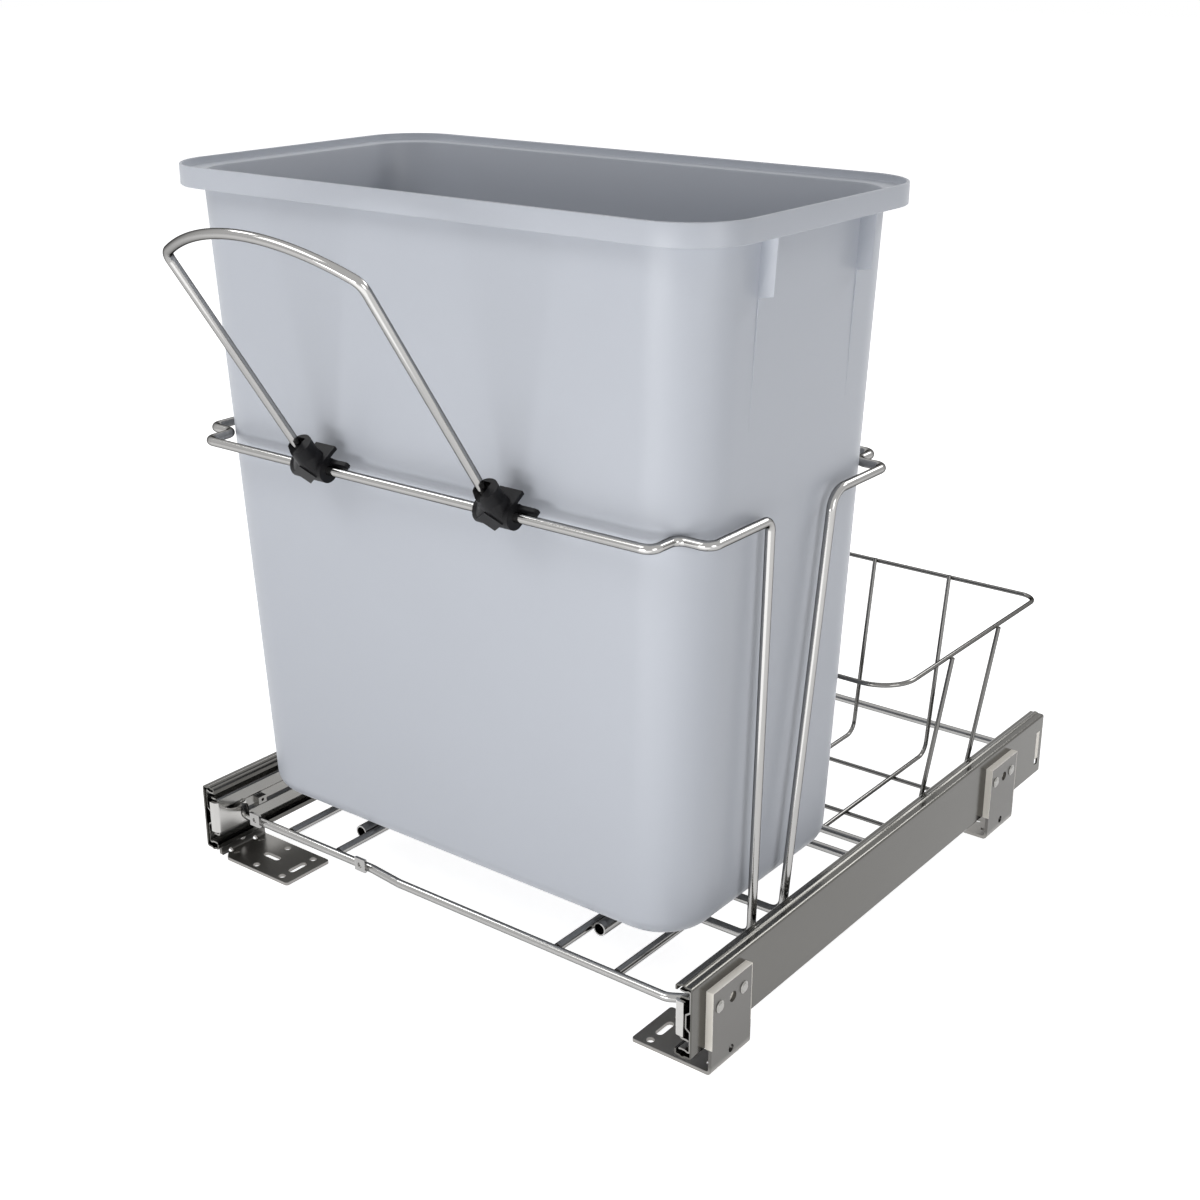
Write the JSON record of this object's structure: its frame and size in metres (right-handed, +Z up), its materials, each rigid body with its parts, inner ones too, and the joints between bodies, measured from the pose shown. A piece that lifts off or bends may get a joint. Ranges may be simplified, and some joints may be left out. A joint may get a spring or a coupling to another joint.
{
  "type": "pull out bin frame",
  "caption": "Pull-out wire frame for a kitchen cabinet on full-extension ball slides, with floor brackets, swinging bail handle, lift-out waste bin and rear wire basket.",
  "frame": {"origin": "on the cabinet floor under the middle of the whole part's box, with the frame closed", "axes": "+X to the right across the cabinet, +Y into the cabinet, +Z up; it pulls out along -Y"},
  "size_m": [0.4116, 0.555, 0.4703],
  "materials": {
    "zinc_plate": "satin zinc plate",
    "bearing_steel": "polished",
    "nylon": "natural nylon",
    "chrome_wire": "bright chrome plate",
    "black_plastic": "satin",
    "bin_plastic": "satin moulded"
  },
  "bodies": {
    "cabinet_side": {"right_outer_rail": "zinc_plate", "left_outer_rail": "zinc_plate", "right_bumper": "nylon", "left_bumper": "nylon", "right_front_bracket": "zinc_plate", "right_rear_bracket": "zinc_plate", "left_front_bracket": "zinc_plate", "left_rear_bracket": "zinc_plate", "right_front_spacer": "nylon", "right_rear_spacer": "nylon", "left_front_spacer": "nylon", "left_rear_spacer": "nylon", "right_rivets": "bearing_steel", "left_rivets": "bearing_steel"},
    "right_mid": {"right_mid_rail": "zinc_plate"},
    "left_mid": {"left_mid_rail": "zinc_plate"},
    "right_outer_balls": {"right_outer_cage": "bearing_steel"},
    "left_outer_balls": {"left_outer_cage": "bearing_steel"},
    "right_inner_balls": {"right_inner_cage": "bearing_steel"},
    "left_inner_balls": {"left_inner_cage": "bearing_steel"},
    "carriage": {"right_inner_rail": "zinc_plate", "left_inner_rail": "zinc_plate", "right_carrier": "zinc_plate", "left_carrier": "zinc_plate", "front_bar": "chrome_wire", "bar_tabs": "zinc_plate", "right_floor_rods": "chrome_wire", "left_floor_rods": "chrome_wire", "right_guide_tube": "chrome_wire", "left_guide_tube": "chrome_wire", "front_hoop": "chrome_wire", "rear_hoop": "chrome_wire", "front_cross_bar": "chrome_wire", "middle_cross_bar": "chrome_wire", "rear_cross_bar": "chrome_wire", "basket_rim": "chrome_wire", "basket_front_hoop": "chrome_wire", "basket_rear_hoop": "chrome_wire", "basket_stringers": "chrome_wire"},
    "handle": {"bail_wire": "chrome_wire", "left_clip": "black_plastic", "right_clip": "black_plastic"},
    "waste_bin": {"bin": "bin_plastic"}
  },
  "joints": [
    {"name": "carriage_slide", "type": "slide", "parent": "cabinet_side", "child": "carriage", "axis": [0, -1, 0], "range_m": [0, 0.45]},
    {"name": "right_mid_slide", "type": "slide", "parent": "cabinet_side", "child": "right_mid", "axis": [0, -1, 0], "range_m": [0, 0.225]},
    {"name": "right_outer_cage_slide", "type": "slide", "parent": "cabinet_side", "child": "right_outer_balls", "axis": [0, -1, 0], "range_m": [0, 0.1125]},
    {"name": "right_inner_cage_slide", "type": "slide", "parent": "cabinet_side", "child": "right_inner_balls", "axis": [0, -1, 0], "range_m": [0, 0.3375]},
    {"name": "left_mid_slide", "type": "slide", "parent": "cabinet_side", "child": "left_mid", "axis": [0, -1, 0], "range_m": [0, 0.225]},
    {"name": "left_outer_cage_slide", "type": "slide", "parent": "cabinet_side", "child": "left_outer_balls", "axis": [0, -1, 0], "range_m": [0, 0.1125]},
    {"name": "left_inner_cage_slide", "type": "slide", "parent": "cabinet_side", "child": "left_inner_balls", "axis": [0, -1, 0], "range_m": [0, 0.3375]},
    {"name": "handle_swing", "type": "hinge", "parent": "carriage", "child": "handle", "pos_m": [-0.0055, -0.17101, 0.3065], "axis": [1, 0, 0], "range_deg": [-30, 110]},
    {"name": "bin_lift", "type": "slide", "parent": "carriage", "child": "waste_bin", "axis": [0, 0, 1], "range_m": [0, 0.3]}
  ],
  "couplings": [
    {"joint": "right_mid_slide", "follows": "carriage_slide", "ratio": 0.5},
    {"joint": "right_outer_cage_slide", "follows": "carriage_slide", "ratio": 0.25},
    {"joint": "right_inner_cage_slide", "follows": "carriage_slide", "ratio": 0.75},
    {"joint": "left_mid_slide", "follows": "carriage_slide", "ratio": 0.5},
    {"joint": "left_outer_cage_slide", "follows": "carriage_slide", "ratio": 0.25},
    {"joint": "left_inner_cage_slide", "follows": "carriage_slide", "ratio": 0.75}
  ]
}
